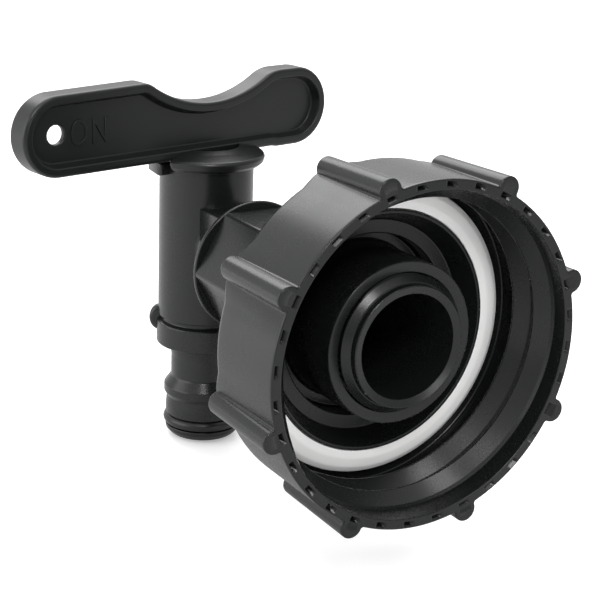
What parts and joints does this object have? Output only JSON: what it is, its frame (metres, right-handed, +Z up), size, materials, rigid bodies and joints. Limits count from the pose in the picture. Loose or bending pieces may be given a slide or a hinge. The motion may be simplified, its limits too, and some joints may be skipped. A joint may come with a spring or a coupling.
{
  "type": "container tap adapter",
  "caption": "Coarse-threaded screw cap for a bulk container outlet, with a sealing washer and a quarter-turn plug tap whose outlet is a quick-connect hose spigot.",
  "frame": {"origin": "on the axis of the coarse thread, at the front face of the sealing washer", "axes": "-Y out of the cap's mouth along the thread's axis, +Z upwards along the tap's barrel towards the lever, +X to the right as seen looking into the cap's mouth"},
  "size_m": [0.0796, 0.0955, 0.08],
  "materials": {
    "black_plastic": "satin moulded polypropylene, black",
    "lever_plastic": "finely textured moulded polypropylene, black",
    "white_washer": "smooth white sealing washer",
    "black_rubber": "smooth black rubber"
  },
  "bodies": {
    "tap": {"cap": "black_plastic", "sealing_washer": "white_washer", "tap_body": "black_plastic", "inlet_seal": "black_rubber", "spigot_ring": "black_rubber"},
    "lever": {"lever": "lever_plastic", "plug_upper_ring": "black_rubber", "plug_lower_ring": "black_rubber", "port_seal": "black_rubber"}
  },
  "joints": [
    {"name": "lever_turn", "type": "hinge", "parent": "tap", "child": "lever", "pos_m": [0, 0.0675, 0], "axis": [0, 0, 1], "range_deg": [-10, 80]}
  ]
}
